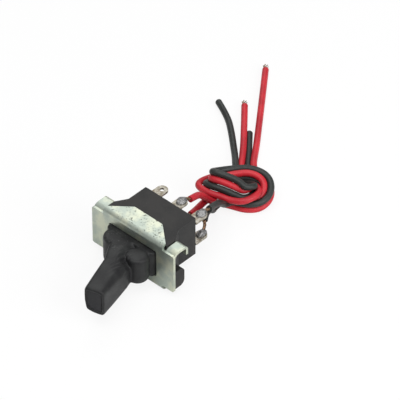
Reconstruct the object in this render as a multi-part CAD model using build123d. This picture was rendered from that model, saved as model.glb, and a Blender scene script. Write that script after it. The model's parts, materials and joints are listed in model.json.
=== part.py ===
from build123d import *
import math
import os

# Two-pole changeover toggle switch for a hand-held power tool.
#
# A moulded housing is gripped between the two tongues of a pressed steel bracket. A paddle lever
# turns on a pin just behind the bracket's opening, and a rubber boot closes that opening round it.
# The lever's inner arm carries one sprung plunger for each pole. Each plunger rolls over a rocker
# contact, which tips on the middle terminal and closes on one end terminal or on the other.
# Six solder lugs stand out of the base at the back. Four leads are soldered to four of them and
# are tied together in one overhand knot.
#
# Frame, in millimetres: origin at the middle of the opening in the bracket's front face,
# +X along the opening, +Y into the switch towards the lugs, +Z up. The lever points to -Y.

# ---- pressed steel bracket
SHEET = 1.0               # thickness of the steel
EAR_SPAN = 41.2           # across both ears, along X
EAR_HEIGHT = 17.2
EAR_CORNER = 0.8
NECK_WIDTH = 30.0         # the middle stretch that carries the tongues
TONGUE_SPAN = 22.0        # outside to outside of the two tongues, along Z
TONGUE_DEPTH = 8.6        # from the front face to the tongue's free edge
TONGUE_TIP = 14.0         # width of the free edge
TONGUE_BEND = 0.8         # inner radius of the bend
OPENING_WIDTH = 23.8
OPENING_HEIGHT = 12.2
OPENING_CORNER = 0.8
TAB_WIDTH = 4.4
TAB_INSET = 0.3           # from the ear's outer edge to the tab
TAB_TOP = 9.4             # height of the tab's outside above the middle of the opening
TAB_REACH = 8.0           # from the front face to the outside of the hook
TAB_DROP = 4.1            # from the tab's outside down to the hook's end
TAB_BEND = 2.4            # inner radius where the tab leaves the ear
HOOK_BEND = 0.8           # inner radius where the hook turns down

# ---- moulded housing
BOOT_SEAT = 0.8           # gap behind the bracket that clamps the boot's rim
FLANGE_WIDTH = 31.0
FLANGE_DEPTH = 4.5
FLANGE_FIT = 0.1          # clearance between the flange and each tongue
TAPER_DEPTH = 4.8         # stretch in which the flange narrows to the body
BODY_WIDTH = 25.2
BODY_HEIGHT = 17.4
BODY_END = 20.8           # the housing's back face
BODY_WALL = 1.4
BODY_EDGE = 0.7           # rounding of the outer edges
FRONT_WALL = 2.8
MOUTH_WIDTH = 14.0        # way out for the lever
MOUTH_HEIGHT = 11.4
PAD_REACH = 20.0          # half span of the two pads behind the ears
PAD_DEPTH = 5.4
PAD_HEIGHT = 8.2
PAD_ROUND = 2.4

# ---- lever, pin and boot
PIVOT_Y = 3.2             # the pin's axis behind the bracket's front face
TILT = 16.0               # degrees, the lever's lean in each of its two positions
PIN_DIAMETER = 2.0
PIN_INSET = 0.3           # of the pin's ends inside the flange's two faces
PIN_CHAMFER = 0.2
PIN_FIT = 0.02            # radial, pin in housing
PIN_PLAY = 0.05           # radial, lever on pin
LEVER_REACH = 34.2        # from the pin to the paddle's end
GRIP_WIDTH = 6.6
GRIP_HEIGHT = 9.8
GRIP_START = 17.6         # from the pin
GRIP_EDGE = 0.4           # chamfer round the paddle's end
GRIP_ROUND = 0.8
NECK_THICK = 5.6          # the lever between the hub and the grip, along X
NECK_TALL = 7.4
NECK_ROUND = 0.8
HUB_RADIUS = 3.4
HUB_HEIGHT = 9.4
ARM_WIDTH = 6.6
ARM_HEIGHT = 14.0
ARM_START = 3.3           # from the pin towards the contacts
ARM_END = 7.6
ARM_ROUND = 0.8
WEB_REACH = 0.5           # of the web from the hub into the arm
BOOT_WALL = 0.9
BOOT_HEIGHT = 11.8
BOOT_FIT = 0.05           # clearance of the boot's rim, and of its sleeve on the grip
SLEEVE_START = 19.4       # from the pin to where the hollow ends and the sleeve begins
SLEEVE_END = 34.8         # from the pin to the sleeve's edge, just past the paddle
SLEEVE_REACH = (4.6, 3.9)  # of its sides from the lever's middle, at the start and at the end
SLEEVE_BORE = 0.5         # of the sleeve's bore past the grip's inner end
RIM_WIDTH = 27.4
RIM_HEIGHT = 15.4
PLUG_FIT = 0.2            # between the boot and the edge of the opening
PLUG_REACH = 3.0          # of the plug in front of the bracket
SKIRT_START = 10.6        # from the pin to where the stretched side leaves its lobe
SKIRT_REACH = 7.6         # of that side from the lever's middle
STRETCHED_LOBE = (-5.6, -3.0, 4.7)   # x, y and radius of the fold on the open side
FOLDED_LOBE = (7.0, -5.2, 4.4)       # and of the fold that the lever squeezes
BOOT_EDGE = 0.8

# ---- contacts
ROW_PITCH = 10.0          # between the two poles, along Z
LUG_PITCH = 9.9           # between neighbouring lugs, along X
PLUNGER_RADIUS = 1.4
PLUNGER_PLAY = 0.1
PLUNGER_REACH = 9.0       # from the pin to the plunger's tip
PLUNGER_LENGTH = 3.2
BORE_END = 3.4            # from the pin to the floor of the plunger's bore
SPRING_RADIUS = 0.95      # to the middle of the wire
SPRING_WIRE = 0.36
SPRING_TURNS = 3.5
ROCK = 9.0                # degrees, the rocker's tip in each position
ROCKER_GAP = 0.1          # between the plunger and the rocker
ROCKER_WIDTH = 4.0
ROCKER_THICK = 0.7
ROCKER_END = 0.1          # metal past each contact
TROUGH_WEB = 0.6          # metal left under the middle of the trough
TROUGH_LIP = 0.9          # trough past the plunger's furthest place
TROUGH_EDGE = 0.7         # flat rim on each side of the trough
RIDGE_RADIUS = 0.6        # the ridge that the rocker tips on
RIDGE_PLAY = 0.05
CONTACT_RADIUS = 1.0
CONTACT_HEIGHT = 0.8
CONTACT_GAP = 0.06        # left between two closed contacts
HEAD_THICK = 0.8
HEAD_WIDTH = 2.2
HEAD_HEIGHT = 4.2
CRADLE_WIDTH = 3.0
CRADLE_DROP = 0.3         # from the rocker's axis to the cradle's top

# ---- base and lugs
BASE_FIT = 0.1            # clearance between the base and the housing
BASE_RECESS = 0.3         # the base lies this far inside the housing's back edge
BARRIER = 1.4             # thickness of the rib between the poles
BARRIER_REACH = 5.0
LUG_WIDTH = 4.6
LUG_THICK = 0.8
LUG_LENGTH = 7.4          # out of the housing's back face
LUG_EYE = 0.9             # radius
STEM_WIDTH = 1.8          # the lug where it passes through the base
SLOT_PLAY = 0.05
SOLDER = (1.7, 2.5)       # radius and half length of a solder bead
CORE_RADIUS = 0.6         # bare stranded conductor
CORE_BARE = 2.6           # of it between the lug's end and the insulation

# ---- leads: four tubes that come off the lugs, run through one knot and end free on the floor
LEAD_RADIUS = 1.2
LEAD_PITCH = 2.7          # between neighbours in the bundle
LEAD_EXIT = 3.0           # first run, straight along +Y
ARC_SHARE = 0.45          # of the shorter run beside a corner, taken up by its arc
MITRE_LEAST = 0.7         # limit to how far a sharp turn spreads the bundle
KNOT_TURN = 43.3          # degrees from +X to the knot's long side
# The bundle's middle line through the knot: along the long side, across it, height above the
# floor, and fold in degrees. At fold 0 the four leads lie side by side; at 90 they lie two on two.
KNOT = [
    (33.6, 36.4, 2.9, 90),
    (41.0, 34.2, 2.6, 90),
    (50.4, 34.2, 2.6, 90),
    (53.0, 40.2, 4.9, 90),
    (49.4, 46.2, 7.8, 90),
    (42.4, 48.6, 8.6, 90),
    (33.6, 48.4, 8.2, 90),
    (25.2, 45.4, 8.0, 86),
    (23.8, 40.8, 9.5, 84),
    (28.2, 38.2, 10.9, 50),
    (33.4, 36.9, 10.8, 28),
    (38.4, 35.0, 9.6, 15),
    (42.0, 33.7, 9.5, 60),
    (45.6, 36.2, 8.6, 84),
    (45.4, 40.2, 5.2, 88),
    (43.6, 44.2, 2.85, 90),
    (42.2, 50.5, 2.5, 60),
    (41.2, 58.0, 1.7, 18),
]
# Each lead: its lug, its points before the knot and its points after it, in the knot's frame.
LEADS = {
    "red_lead_upper": (
        "middle",
        "upper",
        [(25.4, 29.0, 11.6), (29.4, 34.0, 3.4)],
        [(44.8, 65, 1.25), (45.5, 72, 1.25), (47.5, 84, 1.25), (48.6, 98, 1.25), (50.0, 114.6, 1.25)],
    ),
    "black_lead_lower": (
        "right",
        "lower",
        [(32.0, 22.4, 5.2), (31.0, 30.0, 2.0)],
        [(42.1, 66, 1.25), (42.9, 71, 1.25), (43.4, 76.6, 1.25)],
    ),
    "red_lead_lower": (
        "middle",
        "lower",
        [(25.2, 29.6, 4.6), (27.6, 34.8, 1.6)],
        [(39.6, 66, 1.25), (39.3, 73, 1.25), (40.2, 80, 1.25), (41.7, 92.9, 1.25)],
    ),
    "black_lead_upper": (
        "right",
        "upper",
        [(31.2, 22.4, 15.0), (31.2, 28.6, 10.3), (31.3, 35.5, 7.6)],
        [(37.0, 66, 1.25), (36.4, 73, 1.25), (35.7, 80.6, 1.25), (33.8, 88, 1.25), (31.7, 95.2, 1.25)],
    ),
}

# Places that follow from the sizes above.
TONGUE_FACE = TONGUE_SPAN / 2 - SHEET
HOUSING_FRONT = SHEET + BOOT_SEAT
FLANGE_BACK = HOUSING_FRONT + FLANGE_DEPTH
FLANGE_HALF = TONGUE_FACE - FLANGE_FIT
BODY_RISE = round(FLANGE_HALF - BODY_HEIGHT / 2, 6)    # the two tops are flush
CAVITY_FRONT = HOUSING_FRONT + FRONT_WALL
CAVITY_WIDTH = BODY_WIDTH - 2 * BODY_WALL
CAVITY_HEIGHT = BODY_HEIGHT - 2 * BODY_WALL
CAVITY = (BODY_RISE - CAVITY_HEIGHT / 2, BODY_RISE + CAVITY_HEIGHT / 2)
ROCKER_Y = PIVOT_Y + PLUNGER_REACH + ROCKER_GAP + TROUGH_WEB
CONTACT_DROP = (
    (LUG_PITCH + CONTACT_RADIUS) * math.sin(math.radians(ROCK))
    + CONTACT_HEIGHT * math.cos(math.radians(ROCK))
)
FIXED_FRONT = ROCKER_Y + CONTACT_DROP + CONTACT_GAP
HEAD_FRONT = FIXED_FRONT + CONTACT_HEIGHT
BASE_FRONT = HEAD_FRONT + HEAD_THICK
BASE_BACK = BODY_END - BASE_RECESS
LUG_END = BODY_END + LUG_LENGTH
EYE_Y = LUG_END - LUG_WIDTH / 2
FLOOR = -TONGUE_SPAN / 2
POLES = {"upper": BODY_RISE + ROW_PITCH / 2, "lower": BODY_RISE - ROW_PITCH / 2}
COLUMNS = {"left": -LUG_PITCH, "middle": 0.0, "right": LUG_PITCH}


def block(x, y, z):
    """A box given by its low and high end along each axis."""
    size = (x[1] - x[0], y[1] - y[0], z[1] - z[0])
    middle = (sum(x) / 2, sum(y) / 2, sum(z) / 2)
    return Pos(*middle) * Box(*size)


def prism(points, low, high):
    """A closed outline in X and Y, carried from one height to another."""
    outline = make_face(Polyline(*points, close=True))
    return Pos(0, 0, low) * extrude(outline, high - low)


def rod(radius, start, end):
    """A round bar between two points."""
    start, end = Vector(*start), Vector(*end)
    plane = Plane(origin=start, z_dir=end - start)
    return extrude(plane * Circle(radius), (end - start).length)


def leaned(shape, turn=TILT):
    """A piece of the lever, turned about the pin from its middle place."""
    return Pos(0, PIVOT_Y, 0) * Rot(0, 0, turn) * Pos(0, -PIVOT_Y, 0) * shape


def bent_strip(points, radii, width):
    """Sheet steel of one width, bent in the Y-Z plane along its middle line."""
    path = FilletPolyline(*[(0, y, z) for y, z in points], radius=radii)
    section = Plane(origin=path @ 0, x_dir=(1, 0, 0), z_dir=path % 0) * Rectangle(width, SHEET)
    return sweep(section, path=path)


def bracket():
    """The plate with its opening, two ears, two tongues and a hooked tab on each ear."""
    middle = SHEET / 2
    tongue = TONGUE_SPAN / 2 - middle
    neck = bent_strip(
        [(TONGUE_DEPTH, -tongue), (middle, -tongue), (middle, tongue), (TONGUE_DEPTH, tongue)],
        TONGUE_BEND + middle,
        NECK_WIDTH,
    )
    sheet = Plane.XZ * RectangleRounded(EAR_SPAN, EAR_HEIGHT, EAR_CORNER)
    ears = Pos(0, SHEET, 0) * extrude(sheet, SHEET)
    tab = bent_strip(
        [
            (middle, 0),
            (middle, TAB_TOP - middle),
            (TAB_REACH - middle, TAB_TOP - middle),
            (TAB_REACH - middle, TAB_TOP - TAB_DROP),
        ],
        [TAB_BEND + middle, HOOK_BEND + middle],
        TAB_WIDTH,
    )
    body = neck + ears
    tab_x = EAR_SPAN / 2 - TAB_INSET - TAB_WIDTH / 2
    bend_end = SHEET + TONGUE_BEND
    for side in (-1, 1):
        body += Pos(side * tab_x, 0, 0) * tab
        corner = [
            (side * NECK_WIDTH / 2, bend_end),
            (side * NECK_WIDTH / 2, TONGUE_DEPTH + 1),
            (side * TONGUE_TIP / 2, TONGUE_DEPTH + 1),
            (side * TONGUE_TIP / 2, TONGUE_DEPTH),
        ]
        body -= prism(corner, -TONGUE_SPAN, TONGUE_SPAN)
    hole = Plane.XZ * RectangleRounded(OPENING_WIDTH, OPENING_HEIGHT, OPENING_CORNER)
    body -= Pos(0, 2 * SHEET, 0) * extrude(hole, 3 * SHEET)
    return body


def housing():
    """The moulded shell: clamped flange, tapered shoulders, body, and a pad behind each ear."""
    half = FLANGE_WIDTH / 2
    taper_end = FLANGE_BACK + TAPER_DEPTH
    outline = [(-half, HOUSING_FRONT), (half, HOUSING_FRONT), (half, FLANGE_BACK)]
    outline += [(BODY_WIDTH / 2, taper_end), (BODY_WIDTH / 2, BODY_END)]
    outline += [(-BODY_WIDTH / 2, BODY_END), (-BODY_WIDTH / 2, taper_end), (-half, FLANGE_BACK)]
    shell = prism(outline, BODY_RISE - BODY_HEIGHT / 2, BODY_RISE + BODY_HEIGHT / 2)
    shell = chamfer(shell.edges().group_by(Axis.Y)[-1], BODY_EDGE)
    shell += block((-half, half), (HOUSING_FRONT, FLANGE_BACK), (-FLANGE_HALF, FLANGE_HALF))
    pad = Plane.YZ * Pos(SHEET + PAD_DEPTH / 2, -PAD_HEIGHT / 2) * Rectangle(PAD_DEPTH, PAD_HEIGHT)
    pad = fillet(pad.vertices().group_by(Axis.Y)[-1], PAD_ROUND)
    shell += Pos(-PAD_REACH, 0, 0) * extrude(pad, 2 * PAD_REACH)
    shell -= block((-half, half), (SHEET - 1, HOUSING_FRONT), (-BODY_HEIGHT, BODY_HEIGHT))
    wide, tall = MOUTH_WIDTH / 2, MOUTH_HEIGHT / 2
    shell -= block((-wide, wide), (HOUSING_FRONT - 1, CAVITY_FRONT + 1), (-tall, tall))
    wide = CAVITY_WIDTH / 2
    shell -= block((-wide, wide), (CAVITY_FRONT, BODY_END + 1), CAVITY)
    end = FLANGE_HALF + 1
    shell -= rod(PIN_DIAMETER / 2 + PIN_FIT, (0, PIVOT_Y, -end), (0, PIVOT_Y, end))
    return shell


def pivot_pin():
    """The steel pin, pressed through the housing's front wall above and below the mouth."""
    end = FLANGE_HALF - PIN_INSET
    pin = rod(PIN_DIAMETER / 2, (0, PIVOT_Y, -end), (0, PIVOT_Y, end))
    return chamfer(pin.edges(), PIN_CHAMFER)


def lever():
    """Paddle, neck, hub and inner arm, moulded in one piece."""
    tip = PIVOT_Y - LEVER_REACH
    grip_end = PIVOT_Y - GRIP_START
    wide, tall = GRIP_WIDTH / 2, GRIP_HEIGHT / 2
    grip = block((-wide, wide), (tip, grip_end), (-tall, tall))
    grip = chamfer(grip.edges().group_by(Axis.Y)[0], GRIP_EDGE)
    grip = fillet(grip.edges().filter_by(Axis.Y), GRIP_ROUND)
    wide, tall = NECK_THICK / 2, NECK_TALL / 2
    neck = block((-wide, wide), (grip_end - 1, PIVOT_Y), (-tall, tall))
    neck = fillet(neck.edges().filter_by(Axis.Y), NECK_ROUND)
    hub = rod(HUB_RADIUS, (0, PIVOT_Y, -HUB_HEIGHT / 2), (0, PIVOT_Y, HUB_HEIGHT / 2))
    arm_y = (PIVOT_Y + ARM_START, PIVOT_Y + ARM_END)
    arm_z = (BODY_RISE - ARM_HEIGHT / 2, BODY_RISE + ARM_HEIGHT / 2)
    arm = block((-ARM_WIDTH / 2, ARM_WIDTH / 2), arm_y, arm_z)
    arm = fillet(arm.edges().filter_by(Axis.Z).group_by(Axis.Y)[-1], ARM_ROUND)
    tall = HUB_HEIGHT / 2
    web = block((-wide, wide), (PIVOT_Y, PIVOT_Y + ARM_START + WEB_REACH), (-tall, tall))
    body = grip + neck + hub + arm + web
    hole = PIN_DIAMETER / 2 + PIN_PLAY
    body -= rod(hole, (0, PIVOT_Y, -HUB_HEIGHT), (0, PIVOT_Y, HUB_HEIGHT))
    for z in POLES.values():
        bore = PLUNGER_RADIUS + PLUNGER_PLAY
        body -= rod(bore, (0, PIVOT_Y + BORE_END, z), (0, PIVOT_Y + ARM_END + 1, z))
    return leaned(body)


def plunger(z):
    """A domed nylon plunger in the arm's bore, with the spring behind it."""
    tip = PIVOT_Y + PLUNGER_REACH
    back = tip - PLUNGER_LENGTH
    body = rod(PLUNGER_RADIUS, (0, back, z), (0, tip - PLUNGER_RADIUS, z))
    body += Pos(0, tip - PLUNGER_RADIUS, z) * Sphere(PLUNGER_RADIUS)
    return leaned(body)


def spring(z):
    """The coil that pushes one plunger out of its bore."""
    seat = PIVOT_Y + BORE_END + SPRING_WIRE / 2
    height = PLUNGER_REACH - PLUNGER_LENGTH - BORE_END - SPRING_WIRE
    coil = Helix(pitch=height / SPRING_TURNS, height=height, radius=SPRING_RADIUS)
    section = Plane(origin=coil @ 0, z_dir=coil % 0) * Rectangle(SPRING_WIRE, SPRING_WIRE)
    wire = sweep(section, path=coil, is_frenet=True)
    return leaned(Pos(0, seat, z) * Rot(-90, 0, 0) * wire)


def trough():
    """Radius and half width of the rocker's trough, from the plunger's path over it."""
    lean, rock = math.radians(TILT), math.radians(ROCK)
    reach = PLUNGER_REACH - PLUNGER_RADIUS
    depth = ROCKER_Y - PIVOT_Y
    side = reach * math.sin(lean)
    fall = depth - reach * math.cos(lean)
    across = side * math.cos(rock) - fall * math.sin(rock)
    rise = side * math.sin(rock) + fall * math.cos(rock) - (depth - reach)
    path = (across**2 + rise**2) / (2 * rise)
    return path + PLUNGER_RADIUS + ROCKER_GAP, across + TROUGH_LIP


def tipped(shape):
    """A piece of a rocker, turned about its ridge from level to its place at rest."""
    return Pos(0, ROCKER_Y, 0) * Rot(0, 0, -ROCK) * Pos(0, -ROCKER_Y, 0) * shape


def rocker(z):
    """The see-saw contact: a bar with a trough in front and a ridge behind."""
    radius, half = trough()
    lip = TROUGH_WEB + radius - math.sqrt(radius**2 - half**2)
    end = LUG_PITCH + CONTACT_RADIUS + ROCKER_END
    rim = half + TROUGH_EDGE
    slope = rim + lip - ROCKER_THICK
    points = [(-end, 0), (-end, -ROCKER_THICK), (-slope, -ROCKER_THICK), (-rim, -lip)]
    points += [(rim, -lip), (slope, -ROCKER_THICK), (end, -ROCKER_THICK), (end, 0)]
    low, high = z - ROCKER_WIDTH / 2, z + ROCKER_WIDTH / 2
    bar = prism([(x, ROCKER_Y + y) for x, y in points], low, high)
    centre = ROCKER_Y - TROUGH_WEB - radius
    bar -= rod(radius, (0, centre, low - 1), (0, centre, high + 1))
    bar += rod(RIDGE_RADIUS, (0, ROCKER_Y, low), (0, ROCKER_Y, high))
    return tipped(bar)


def moving_contacts(z):
    """The two silver contacts riveted to one rocker's ends."""
    made = []
    for side in (-1, 1):
        x = side * LUG_PITCH
        made.append(tipped(rod(CONTACT_RADIUS, (x, ROCKER_Y, z), (x, ROCKER_Y + CONTACT_HEIGHT, z))))
    return Compound(made)


def terminal(x, z):
    """One lug: eye and blade outside, stem through the base, head or cradle inside."""
    wide, thick = LUG_WIDTH / 2, LUG_THICK / 2
    shoulder = BODY_END + BASE_FIT
    body = block((x - wide, x + wide), (shoulder, EYE_Y), (z - thick, z + thick))
    body += rod(wide, (x, EYE_Y, z - thick), (x, EYE_Y, z + thick))
    body -= rod(LUG_EYE, (x, EYE_Y, z - 1), (x, EYE_Y, z + 1))
    stem = STEM_WIDTH / 2
    body += block((x - stem, x + stem), (HEAD_FRONT, shoulder), (z - thick, z + thick))
    wide, tall = HEAD_WIDTH / 2, HEAD_HEIGHT / 2
    body += block((x - wide, x + wide), (HEAD_FRONT, BASE_FRONT), (z - tall, z + tall))
    if x == 0:
        wide, tall = CRADLE_WIDTH / 2, ROCKER_WIDTH / 2
        body += block((-wide, wide), (ROCKER_Y + CRADLE_DROP, BASE_FRONT), (z - tall, z + tall))
        groove = RIDGE_RADIUS + RIDGE_PLAY
        body -= rod(groove, (0, ROCKER_Y, z - tall - 1), (0, ROCKER_Y, z + tall + 1))
    return body


def fixed_contacts():
    """A silver contact on the head of each end terminal."""
    made = []
    for z in POLES.values():
        for x in (COLUMNS["left"], COLUMNS["right"]):
            made.append(rod(CONTACT_RADIUS, (x, FIXED_FRONT, z), (x, HEAD_FRONT, z)))
    return Compound(made)


def base():
    """The board that closes the housing, holds the lugs and parts the two poles."""
    wide = CAVITY_WIDTH / 2 - BASE_FIT
    body = block((-wide, wide), (BASE_FRONT, BASE_BACK), (CAVITY[0] + BASE_FIT, CAVITY[1] - BASE_FIT))
    rib = (BASE_FRONT - BARRIER_REACH, BASE_FRONT)
    body += block((-wide, wide), rib, (BODY_RISE - BARRIER / 2, BODY_RISE + BARRIER / 2))
    for x in COLUMNS.values():
        for z in POLES.values():
            stem, thick = STEM_WIDTH / 2 + SLOT_PLAY, LUG_THICK / 2 + SLOT_PLAY
            body -= block((x - stem, x + stem), (BASE_FRONT - 1, BASE_BACK + 1), (z - thick, z + thick))
    return body


def boot_outline(wall):
    """The boot's plan, drawn in by a wall's thickness: two lobes, the skirt and the plug."""
    shape = Sketch()
    for x, y, radius in (STRETCHED_LOBE, FOLDED_LOBE):
        shape += Pos(x, y) * Circle(radius - wall)
    near, reach = SLEEVE_REACH[0] - wall, SKIRT_REACH - wall
    far, hub = PIVOT_Y - SLEEVE_START, PIVOT_Y - HUB_RADIUS
    skirt = [(near, far), (near, hub), (-reach, hub), (-reach, PIVOT_Y - SKIRT_START), (-near, far)]
    shape += leaned(make_face(Polyline(*skirt, close=True)))
    plug = OPENING_WIDTH / 2 - PLUG_FIT - wall
    front = wall - PLUG_REACH
    corners = [(-plug, front), (-plug, HOUSING_FRONT), (plug, HOUSING_FRONT), (plug, front)]
    return shape + make_face(Polyline(*corners, close=True))


def sleeve_outline():
    """The plan of the boot's sleeve, which covers the paddle to its end."""
    (start, end), first, last = SLEEVE_REACH, PIVOT_Y - SLEEVE_START, PIVOT_Y - SLEEVE_END
    corners = [(start, first), (end, last), (-end, last), (-start, first)]
    return leaned(make_face(Polyline(*corners, close=True)))


def boot():
    """The rubber boot: a rim behind the bracket, two folds outside it and a sleeve on the grip."""
    tall = BOOT_HEIGHT / 2
    outline = boot_outline(0) + sleeve_outline()
    body = Pos(0, 0, -tall) * extrude(outline, BOOT_HEIGHT)
    edges = body.edges().group_by(Axis.Z)
    body = fillet(edges[0] + edges[-1], BOOT_EDGE)
    rim = (SHEET + BOOT_FIT, HOUSING_FRONT - BOOT_FIT)
    body += block((-RIM_WIDTH / 2, RIM_WIDTH / 2), rim, (-RIM_HEIGHT / 2, RIM_HEIGHT / 2))
    tall -= BOOT_WALL
    body -= Pos(0, 0, -tall) * extrude(boot_outline(BOOT_WALL), 2 * tall)
    wide = OPENING_WIDTH / 2 - PLUG_FIT - BOOT_WALL
    body -= block((-wide, wide), (0, HOUSING_FRONT + 1), (-tall, tall))
    wide, tall = GRIP_WIDTH / 2 + BOOT_FIT, GRIP_HEIGHT / 2 + BOOT_FIT
    bore = (PIVOT_Y - SLEEVE_END - 1, PIVOT_Y - GRIP_START + SLEEVE_BORE)
    sleeve = block((-wide, wide), bore, (-tall, tall))
    body -= leaned(fillet(sleeve.edges().filter_by(Axis.Y), GRIP_ROUND))
    return body


def core_height(z):
    """Height of a conductor that lies on the lug at z."""
    return z + LUG_THICK / 2 + CORE_RADIUS + SLOT_PLAY


def conductor(x, z):
    """The stripped strands of one lead, from the lug's eye to the insulation."""
    y = core_height(z)
    return rod(CORE_RADIUS, (x, EYE_Y - LUG_EYE, y), (x, LUG_END + CORE_BARE, y))


def solder(x, z):
    """A bead of solder through the eye of a lug and round the strands on it."""
    wide, long = SOLDER
    bead = Pos(x, EYE_Y, z + LUG_THICK / 2) * scale(Sphere(wide), by=(1, long / wide, 1))
    return bead - terminal(x, z) - conductor(x, z)


def bundle_section(fold):
    """Where the four leads lie across the bundle, as steps to the right and up."""
    half = LEAD_PITCH / 2
    side = LEAD_PITCH * math.cos(math.radians(fold))
    rise = half * math.sin(math.radians(fold))
    return [(half + side, rise), (half, -rise), (-half, -rise), (-half - side, rise)]


def knot_points(place):
    """One lead's points in the knot, set off from the bundle's middle line."""
    middle = [Vector(*point[:3]) for point in KNOT]
    points = []
    for index, here in enumerate(middle):
        before = (here - middle[index - 1]).normalized() if index else None
        after = (middle[index + 1] - here).normalized() if index + 1 < len(middle) else before
        before = before or after
        along = (before + after).normalized()
        right = along.cross(Vector(0, 0, 1)).normalized()
        up = right.cross(along)
        square = before.cross(Vector(0, 0, 1)).normalized()
        spread = 1 / max(MITRE_LEAST, right.dot(square))
        side, rise = bundle_section(KNOT[index][3])[place]
        points.append(here + right * (side * spread) + up * rise)
    return points


def in_switch_frame(point):
    """A point of the knot's frame, in the switch's."""
    return Vector(point.X, point.Y, point.Z + FLOOR).rotate(Axis.Z, KNOT_TURN)


def lead_points(name):
    """The corners of one lead's route, from its lug to its free end."""
    column, pole, first, last = LEADS[name]
    start = Vector(COLUMNS[column], LUG_END + CORE_BARE, core_height(POLES[pole]))
    inner = [Vector(*point) for point in first]
    inner += knot_points(list(LEADS).index(name))
    inner += [Vector(*point) for point in last]
    return [start, start + Vector(0, LEAD_EXIT, 0)] + [in_switch_frame(point) for point in inner]


def arc_radii(points):
    """The largest arc that fits each corner of a route."""
    radii = []
    for before, here, after in zip(points, points[1:], points[2:]):
        turn = math.radians((here - before).get_angle(after - here))
        shorter = min((here - before).length, (after - here).length)
        radii.append(ARC_SHARE * shorter / math.tan(turn / 2))
    return radii


def lead(name):
    """One insulated lead."""
    points = lead_points(name)
    radii = arc_radii(points)
    path = FilletPolyline(*points, radius=radii)
    tube = sweep(Plane(origin=path @ 0, z_dir=path % 0) * Circle(LEAD_RADIUS), path=path)
    expected = math.pi * LEAD_RADIUS**2 * path.length
    print(f"{name}: {path.length:.1f} mm long, volume {tube.volume / expected:.4f} of its section's")
    print("  arc radii", " ".join(f"{radius:.1f}" for radius in radii))
    return tube


def pieces():
    """Every piece by the name of its node."""
    made = {"bracket": bracket(), "housing": housing(), "base": base(), "pivot_pin": pivot_pin()}
    made |= {"lever": lever(), "boot": boot(), "fixed_contacts": fixed_contacts()}
    for pole, z in POLES.items():
        made[f"plunger_{pole}"] = plunger(z)
        made[f"spring_{pole}"] = spring(z)
        made[f"rocker_{pole}"] = rocker(z)
        made[f"moving_contacts_{pole}"] = moving_contacts(z)
        for column, x in COLUMNS.items():
            made[f"terminal_{column}_{pole}"] = terminal(x, z)
    for name, (column, pole, _, _) in LEADS.items():
        made[name] = lead(name)
        made[name.replace("lead", "core")] = conductor(COLUMNS[column], POLES[pole])
        made[f"solder_{column}_{pole}"] = solder(COLUMNS[column], POLES[pole])
    return made


os.makedirs("parts", exist_ok=True)
for node, solid in pieces().items():
    export_step(solid, f"parts/{node}.step")
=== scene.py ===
# %% [markdown]
# # A changeover switch and its four leads
# The real object is a small toggle switch out of a hand-held power tool: a pressed steel
# bracket, a moulded body, a paddle lever in a rubber boot, six solder lugs and four leads tied
# in one knot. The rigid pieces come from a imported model, which is loaded here and never moved.
# This lesson gives them their finishes, and makes what is soft, twisted or lumpy: the leads,
# the boot, the bare strands, the solder and the springs.

# %% Load the frame
import json
import math

import bpy
import numpy as np
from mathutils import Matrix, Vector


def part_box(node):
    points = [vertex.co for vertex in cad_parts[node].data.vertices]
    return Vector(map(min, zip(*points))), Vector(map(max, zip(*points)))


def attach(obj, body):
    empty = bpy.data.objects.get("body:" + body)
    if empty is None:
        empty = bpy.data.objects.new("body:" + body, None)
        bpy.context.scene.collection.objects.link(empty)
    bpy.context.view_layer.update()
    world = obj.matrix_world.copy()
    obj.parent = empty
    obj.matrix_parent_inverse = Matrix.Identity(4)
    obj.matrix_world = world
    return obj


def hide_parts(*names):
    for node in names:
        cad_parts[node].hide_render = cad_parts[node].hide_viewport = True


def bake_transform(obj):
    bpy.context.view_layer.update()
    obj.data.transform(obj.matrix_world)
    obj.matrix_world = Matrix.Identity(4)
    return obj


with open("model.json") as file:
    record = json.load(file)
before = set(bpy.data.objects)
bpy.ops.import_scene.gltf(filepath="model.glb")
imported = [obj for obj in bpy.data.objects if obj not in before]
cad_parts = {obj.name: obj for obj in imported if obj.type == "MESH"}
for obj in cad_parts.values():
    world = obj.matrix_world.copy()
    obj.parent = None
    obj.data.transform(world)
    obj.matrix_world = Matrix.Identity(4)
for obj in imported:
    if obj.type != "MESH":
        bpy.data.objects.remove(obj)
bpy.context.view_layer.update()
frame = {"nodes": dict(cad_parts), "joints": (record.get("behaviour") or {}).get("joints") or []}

MM = 0.001

# %% [markdown]
# ## Places and sizes
# A maker measures the pieces before dressing them. The sizes below come from the model's own
# nodes, so that nothing has to be fitted afterwards. The switch lies on the outer face of the
# bracket's lower tongue, which gives the height of the floor.

# %% Measure the frame
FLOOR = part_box("bracket")[0].z
lever_turn = next(joint for joint in frame["joints"] if joint["name"] == "lever_turn")
PIVOT = np.array(lever_turn["pos_m"])
REST_LEAN = math.radians(16.0)  # half of the lever's throw
LEVER_AXIS = np.array([math.sin(REST_LEAN), -math.cos(REST_LEAN), 0.0])
LEVER_SIDE = np.array([math.cos(REST_LEAN), math.sin(REST_LEAN), 0.0])
UP = np.array([0.0, 0.0, 1.0])
print("floor at", round(FLOOR, 4), "pivot at", PIVOT)

# %% [markdown]
# ## The camera
# A product shot of a small switch is made with a long lens from well away, so that near and far
# pieces keep about the same scale. The camera stands to the right of the lever and looks down
# at 41 degrees. Its lens is worked out from the width that the shot takes in.

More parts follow.
